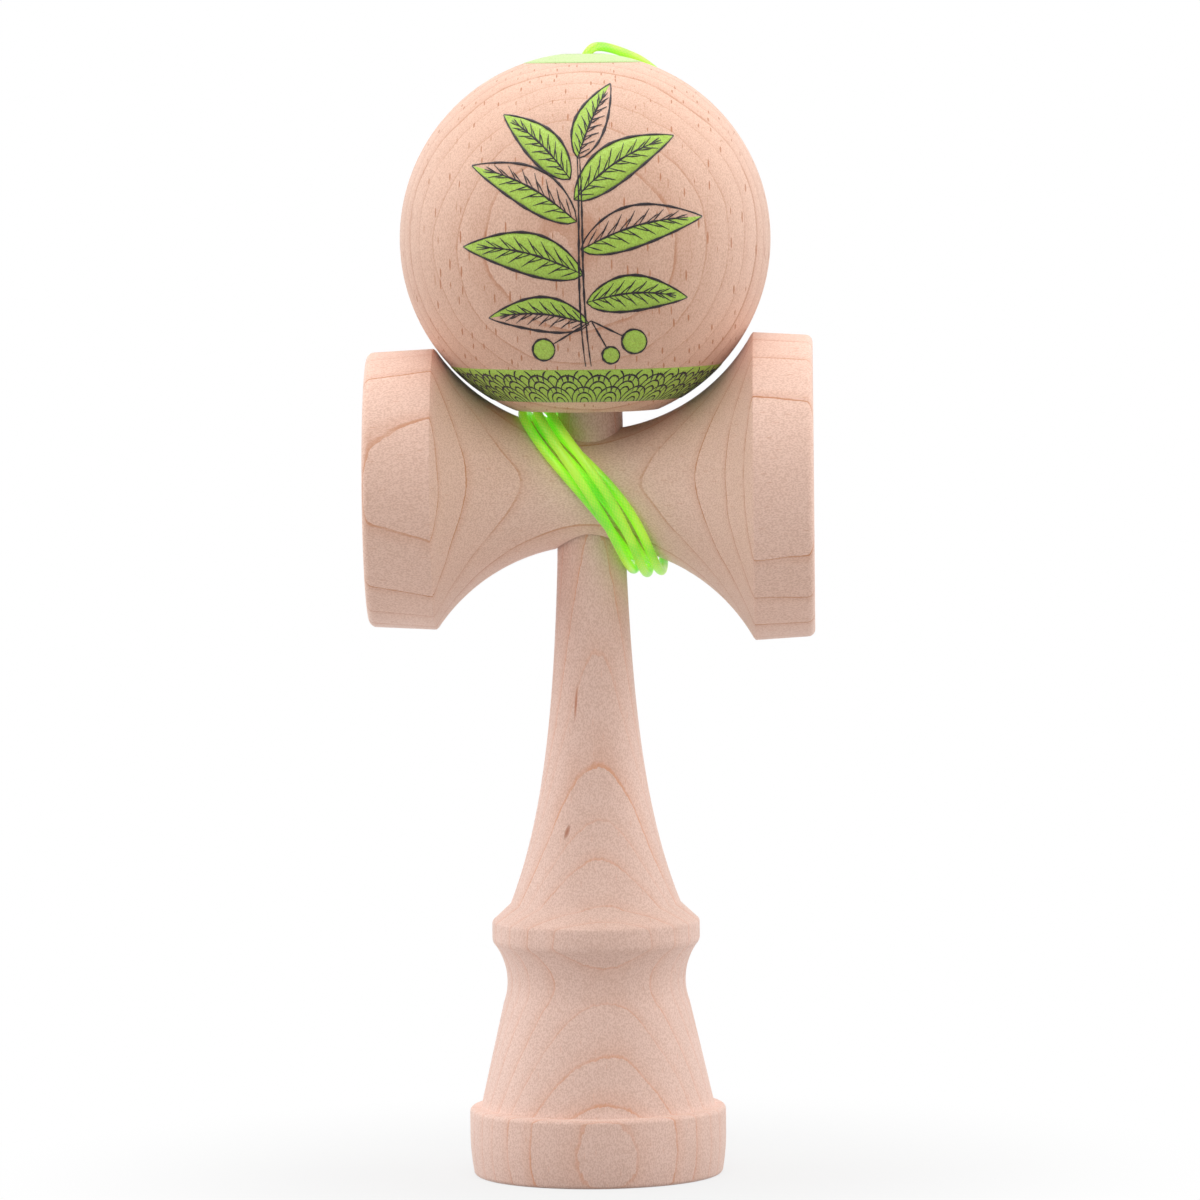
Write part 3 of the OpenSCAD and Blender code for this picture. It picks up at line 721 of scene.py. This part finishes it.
def on_band(around, up, lift):
    """A point at so many degrees round from the front and so many degrees above the ball's equator."""
    r = tama_r + lift
    a, e = radians(around), radians(up)
    return Vector((tama_x + r * cos(e) * sin(a), -r * cos(e) * cos(a), tama_z + r * sin(e))) * mm


def print_film(name):
    """An empty film and the mesh that its strips are laid in."""
    mesh = bpy.data.meshes.new(name)
    piece = bpy.data.objects.new(name, mesh)
    bpy.context.scene.collection.objects.link(piece)
    return piece, bmesh.new()


def lay_strip(bm, left, right, place, lift, columns=1):
    """A strip of film between two edges given in the picture's own measures."""
    rows = []
    for a, b in zip(left, right):
        flat = [a.lerp(b, k / columns) for k in range(columns + 1)]
        rows.append([bm.verts.new(place(point.x, point.y, lift)) for point in flat])
    for low, high in zip(rows, rows[1:]):
        for k in range(columns):
            bm.faces.new((low[k], low[k + 1], high[k + 1], high[k]))


def pen_stroke(bm, line, width, place, lift):
    """A pen line that swells in its middle and thins out at both ends."""
    left, right = [], []
    for i, point in enumerate(line):
        way = (line[min(i + 1, len(line) - 1)] - line[max(i - 1, 0)]).normalized()
        square = Vector((-way.y, way.x))
        swell = 0.4 + 0.6 * sin(pi * i / (len(line) - 1))
        shake = 1 + 0.3 * sin(1.9 * i + 3.1 * line[0].x)
        half = width / 2 * swell * shake
        left.append(point + square * half)
        right.append(point - square * half)
    lay_strip(bm, left, right, place, lift)


def set_film(piece, bm, material):
    """Gives the film its thickness, outwards from the wood, and its ink."""
    bmesh.ops.remove_doubles(bm, verts=bm.verts, dist=0.0005 * mm)
    bmesh.ops.recalc_face_normals(bm, faces=bm.faces)
    middle = Vector((tama_x, 0, tama_z)) * mm
    for face in bm.faces:
        if face.normal.dot(face.calc_center_median() - middle) < 0:
            face.normal_flip()
        face.smooth = True
    bm.to_mesh(piece.data)
    bm.free()
    bpy.ops.object.select_all(action="DESELECT")
    piece.select_set(True)
    bpy.context.view_layer.objects.active = piece
    thick = piece.modifiers.new("thick", "SOLIDIFY")
    thick.thickness = film * mm
    thick.offset = -1
    bpy.ops.object.modifier_apply(modifier="thick")
    piece.data.materials.append(material)
    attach(piece, "tama")


def leaf_lines(base, tip, width, bow, steps=18):
    """The middle and the two edges of a pointed leaf."""
    base, tip = Vector(base), Vector(tip)
    way = tip - base
    square = Vector((-way.y, way.x)).normalized()
    middle, left, right = [], [], []
    for i in range(steps + 1):
        t = i / steps
        point = base + way * t + square * bow * sin(pi * t)
        half = width / 2 * sin(pi * t ** 0.8) ** 0.85 + 0.03
        middle.append(point)
        left.append(point + square * half)
        right.append(point - square * half)
    return middle, left, right


# base, tip, width, bow, and the side that is printed green: whole leaf, left of its rib or right of it
leaves = (
    ((1.2, -13), (-15.0, -12.0), 5.6, -1.2, "right"),
    ((0.9, -9.5), (17.0, -9.0), 5.8, 1.2, "whole"),
    ((0.4, -5.0), (-19.0, -0.5), 6.6, -1.4, "whole"),
    ((0.1, -1.0), (19.5, 4.0), 6.6, 1.4, "right"),
    ((-0.5, 3.5), (-17.5, 12.5), 6.4, -1.4, "left"),
    ((-0.9, 7.0), (15.0, 17.0), 6.2, 1.4, "whole"),
    ((-1.5, 10.3), (-12.4, 20.6), 5.4, -0.8, "whole"),
    ((-0.3, 13.6), (4.8, 25.4), 5.0, 0.4, "left"),
)
stem = [Vector((1.9 + 1.0 * sin(0.09 * v) - 0.09 * (v + 20), v)) for v in range(-20, 15)]
# right of and above the ball's middle, and radius
berries = ((8.4, -16.0, 2.0), (-6.2, -17.2, 1.8), (4.6, -18.2, 1.4))
stalk_top = Vector((1.6, -12.5))
edge_pen, rib_pen, vein_pen, stem_pen, stalk_pen = 0.40, 0.32, 0.19, 0.34, 0.30
long_vein, short_vein = 0.74, 0.42
stem_half, stem_taper = 0.45, 0.6
green_print, green = print_film("tama_print_green")
ink_print, ink = print_film("tama_print_ink")
for base, tip, width, bow, side in leaves:
    middle, left, right = leaf_lines(base, tip, width, bow)
    green_left = middle if side == "right" else left
    green_right = middle if side == "left" else right
    lay_strip(green, green_left, green_right, on_front, film, 4)
    for line in (left, right):
        pen_stroke(ink, line, edge_pen, on_front, over_green)
    pen_stroke(ink, middle[:-2], rib_pen, on_front, over_green)
    for i in range(1, 15):
        for edge in (left, right):
            vein_end = middle[i + 2].lerp(edge[i + 2], long_vein if i % 2 else short_vein)
            vein = [middle[i].lerp(vein_end, k / 4) for k in range(5)]
            pen_stroke(ink, vein, vein_pen, on_front, over_green)
for offset in (-stem_half, stem_half):
    stem_edge = [point + Vector((offset * (1 - stem_taper * i / len(stem)), 0))
                 for i, point in enumerate(stem)]
    pen_stroke(ink, stem_edge, stem_pen, on_front, over_green)
for u, v, r in berries:
    centre = Vector((u, v))
    ring = [Vector((u + r * cos(radians(15 * k)), v + r * sin(radians(15 * k)))) for k in range(25)]
    lay_strip(green, [centre.lerp(point, 0.02) for point in ring], ring, on_front, film, 3)
    pen_stroke(ink, ring, stem_pen, on_front, over_green)
    stalk_foot = centre + (stalk_top - centre).normalized() * r
    pen_stroke(ink, [stalk_foot.lerp(stalk_top, k / 8) for k in range(9)], stalk_pen, on_front, over_green)


def green_hoop(bm, low, high, step):
    """A closed hoop of green between two heights in degrees, in steps of so many degrees."""
    around = range(0, 361, step)
    lay_strip(bm, [Vector((a, low)) for a in around], [Vector((a, high)) for a in around], on_band, film, 6)


# The band: three staggered rows of scales, each with two smaller ones inside it, and all sizes
# in degrees. The top row's larger scales stop short of the band's upper edge.
band_low, band_high, band_margin = -59.2, -42.7, 0.35
green_hoop(green, band_low, band_high, 3)
wave_pen = 0.72
scales, scale_rows = 26, 3
scale_turn = 360 / scales
band_tall = band_high - band_low
scale_tall = 0.52 * band_tall
for row in range(scale_rows):
    foot = band_low + band_tall * row / scale_rows
    for k in range(scales):
        centre = scale_turn * (k + 0.5 * (row % 2))
        for size in (1.0, 0.66, 0.34):
            wave = [Vector((centre + scale_turn * 0.5 * size * cos(a), foot + scale_tall * size * sin(a)))
                    for a in (radians(180 * i / 14) for i in range(15))]
            inside = [point for point in wave if point.y < band_high - band_margin]
            half_way = len(inside) // 2
            halves = [inside[:half_way], inside[half_way:]]
            for line in [wave] if len(inside) == len(wave) else halves:
                pen_stroke(ink, line, wave_pen, on_band, over_green)
cap_low, cap_high = 71.3, 83.7
cap_print, cap = print_film("tama_cap_green")
green_hoop(cap, cap_low, cap_high, 5)

# The green lets a little of the grain through; the ink is a dark violet brown
leaf_green = turned_wood(
    "leaf_green", **ball_grain, pale=(0.48, 0.72, 0.115, 1), deep=(0.42, 0.65, 0.09, 1),
    ring_colour=(0.30, 0.45, 0.06, 1), ring_share=0.35, fleck_share=0.45)[0]
print_ink = turned_wood(
    "print_ink", **ball_grain, pale=(0.030, 0.020, 0.024, 1), deep=(0.018, 0.012, 0.015, 1),
    ring_colour=(0.05, 0.03, 0.03, 1), ring_share=0.3, fleck_share=0.2)[0]
# The cap is printed in the band's green ink, drawn here paler and greyer as a painted highlight from the top
# light that washes it out
top_lit_cap_green = turned_wood(
    "top_lit_cap_green", **ball_grain, pale=(0.60, 0.80, 0.36, 1), deep=(0.52, 0.72, 0.27, 1),
    ring_colour=(0.42, 0.60, 0.18, 1), ring_share=0.35, fleck_share=0.45)[0]
set_film(green_print, green, leaf_green)
set_film(cap_print, cap, top_lit_cap_green)
set_film(ink_print, ink, print_ink)


# Bead: a small turned wooden bead on the string inside the tama, which keeps the knot
# from being drawn into the hole.
bead_z, bead_r, bead_hole_a = 171.11, 3, 70.5
bead_outline = arc(0, bead_z, bead_r, bead_hole_a, -bead_hole_a, 24)
bead_outline.append(bead_outline[0])
bead = turn_on_lathe("bead_turned", [Vector((tama_x + r, 0, z)) * mm for r, z in bead_outline],
                     (tama_x * mm, 0, 0), (0, 0, 1), steps=48)
bead_wood = turned_wood(
    "bead_wood", pith=(20.0, 30.0, 0), turn=(0, 0, 0), spacing=1.1, wander=0.8, jag=0.3,
    pale=(0.72, 0.50, 0.33, 1), deep=(0.60, 0.39, 0.24, 1), ring_colour=(0.40, 0.21, 0.11, 1),
    ring_share=0.7, fleck_share=0.3)[0]
bead.data.materials.append(bead_wood)
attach(bead, "bead")
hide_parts("bead")


# Floor and backdrop: white studio paper, lit by soft boxes above, at both sides and in front.


def seen_ray(nodes, links):
    """One for rays that show the paper, straight or mirrored, and zero for the light that it throws."""
    ray = nodes.new("ShaderNodeLightPath").outputs
    seen = value_node(nodes, links, "ShaderNodeMath", "MAXIMUM", ray["Is Camera Ray"], ray["Is Glossy Ray"])
    return value_node(nodes, links, "ShaderNodeMath", "MAXIMUM", seen, ray["Is Transmission Ray"])


bpy.ops.object.select_all(action="DESELECT")
bpy.ops.mesh.primitive_plane_add(size=8, location=(0, 0, 0))
floor = bpy.context.object
floor.name = "floor"
white_paper, nodes, links, shader = new_material("white_paper")
shader.inputs["Base Color"].default_value = (0.55, 0.55, 0.55, 1)
shader.inputs["Roughness"].default_value = 0.9
shader.inputs["Specular IOR Level"].default_value = 0
floor_place = nodes.new("ShaderNodeTexCoord")
away = value_node(nodes, links, "ShaderNodeVectorMath", "LENGTH", floor_place.outputs["Object"])
fade = nodes.new("ShaderNodeMapRange")
fade.interpolation_type = "SMOOTHSTEP"
for socket_name, number in (("From Min", 0.03), ("From Max", 0.11), ("To Min", 0.78), ("To Max", 1.0)):
    fade.inputs[socket_name].default_value = number
links.new(away, fade.inputs["Value"])
white_share = value_node(nodes, links, "ShaderNodeMath", "MULTIPLY", seen_ray(nodes, links),
                         fade.outputs["Result"])
glow = nodes.new("ShaderNodeEmission")
paper = nodes.new("ShaderNodeMixShader")
links.new(white_share, paper.inputs["Fac"])
links.new(shader.outputs["BSDF"], paper.inputs[1])
links.new(glow.outputs["Emission"], paper.inputs[2])
links.new(paper.outputs["Shader"], nodes["Material Output"].inputs["Surface"])
floor.data.materials.append(white_paper)

world = bpy.data.worlds.new("studio")
bpy.context.scene.world = world
world.use_nodes = True
nodes, links = world.node_tree.nodes, world.node_tree.links
fill_light = 0.25
room_light = value_node(nodes, links, "ShaderNodeMath", "MULTIPLY_ADD", seen_ray(nodes, links),
                        1 - fill_light, fill_light)
links.new(room_light, nodes["Background"].inputs["Strength"])
nodes["Background"].inputs["Color"].default_value = (1, 1, 1, 1)

light_target = Vector((0, 0, 0.1))
for light_name, place, size, watts in (
    ("soft_box_left", (-0.72, 0.12, 0.30), 0.8, 3.7),
    ("soft_box_right", (0.72, 0.12, 0.30), 0.8, 3.7),
    ("soft_box_top", (0.0, 0.15, 1.10), 0.9, 8.2),
    ("soft_box_front", (0.0, -0.90, 1.10), 0.9, 6.4),
):
    bpy.ops.object.light_add(type="AREA", location=place)
    light = bpy.context.object
    light.name = light_name
    light.data.size = size
    light.data.energy = watts
    light.rotation_euler = (light_target - Vector(place)).to_track_quat("-Z", "Y").to_euler()

bpy.context.scene.view_settings.view_transform = "Standard"
